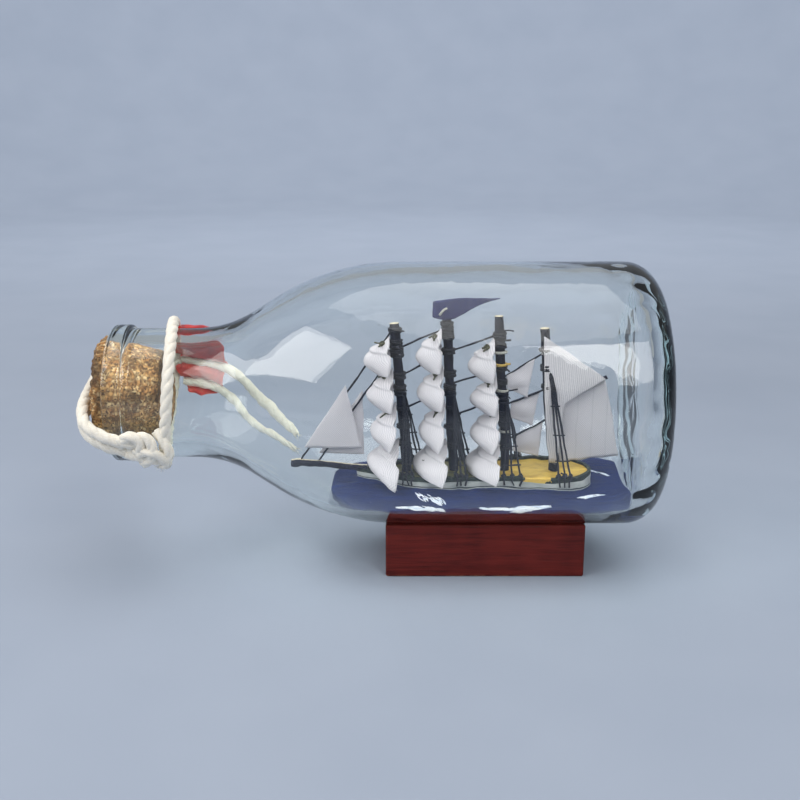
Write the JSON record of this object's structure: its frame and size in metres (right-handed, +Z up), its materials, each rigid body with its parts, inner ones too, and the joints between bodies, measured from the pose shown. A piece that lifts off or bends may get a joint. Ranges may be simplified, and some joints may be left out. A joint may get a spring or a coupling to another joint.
{
  "type": "ship in a bottle",
  "caption": "Small square-rigged sailing ship on a painted sea inside a clear glass bottle, corked and tied with string, lying on a grooved wooden stand.",
  "frame": {"origin": "centre of the stand's underside, which the part rests on", "axes": "+X along the bottle from its mouth to its base, +Y to the ship's starboard side, +Z up"},
  "size_m": [0.1268, 0.0586, 0.0689],
  "materials": {
    "bottle_glass": "clear hand-made glass with a faint green tint",
    "cork": "bare agglomerated cork, rough",
    "string": "twisted undyed cotton",
    "sealing_wax": "poured wax, satin",
    "stand_wood": "stained and varnished",
    "sea_paint": "painted putty",
    "hull_paint": "thin paint",
    "deck_paint": "thin paint",
    "rail_paint": "thin paint",
    "spar_paint": "thin paint",
    "rigging_thread": "black sewing thread",
    "sailcloth": "plain weave cotton, starched",
    "flag_cloth": "stiff dyed cloth"
  },
  "bodies": {
    "bottle": {"bottle": "bottle_glass", "stand_block": "stand_wood", "sea_base": "sea_paint", "wax_seal": "sealing_wax", "neck_string": "string", "string_knot": "string", "cork_loop": "string", "cork_loop_inner": "string", "string_tail_upper": "string", "string_tail_lower": "string", "hull": "hull_paint", "deck": "deck_paint", "hull_rail": "rail_paint", "bowsprit": "spar_paint", "gaff": "spar_paint", "pennant": "flag_cloth", "fore_mast": "spar_paint", "fore_channels": "rail_paint", "fore_shrouds_port": "rigging_thread", "fore_shrouds_starboard": "rigging_thread", "fore_stays": "rigging_thread", "main_mast": "spar_paint", "main_channels": "rail_paint", "main_shrouds_port": "rigging_thread", "main_shrouds_starboard": "rigging_thread", "main_stays": "rigging_thread", "mizzen_mast": "spar_paint", "mizzen_channels": "rail_paint", "mizzen_shrouds_port": "rigging_thread", "mizzen_shrouds_starboard": "rigging_thread", "mizzen_stays": "rigging_thread", "jigger_mast": "spar_paint", "jigger_channels": "rail_paint", "jigger_shrouds_port": "rigging_thread", "jigger_shrouds_starboard": "rigging_thread", "jigger_stays": "rigging_thread", "fore_sail_ties": "rigging_thread", "main_sail_ties": "rigging_thread", "mizzen_sail_ties": "rigging_thread", "fore_royal": "sailcloth", "fore_topgallant": "sailcloth", "fore_topsail": "sailcloth", "fore_course": "sailcloth", "main_royal": "sailcloth", "main_topgallant": "sailcloth", "main_topsail": "sailcloth", "main_course": "sailcloth", "mizzen_royal": "sailcloth", "mizzen_topgallant": "sailcloth", "mizzen_topsail": "sailcloth", "mizzen_course": "sailcloth", "outer_jib": "sailcloth", "inner_jib": "sailcloth", "upper_staysail": "sailcloth", "middle_staysail": "sailcloth", "lower_staysail": "sailcloth", "spanker_sail": "sailcloth", "gaff_topsail": "sailcloth"},
    "cork": {"cork_stopper": "cork"}
  },
  "joints": [
    {"name": "cork_pull", "type": "slide", "parent": "bottle", "child": "cork", "axis": [-1, 0, 0], "range_m": [0, 0.005], "deforming": ["cork_loop", "cork_loop_inner"]}
  ]
}
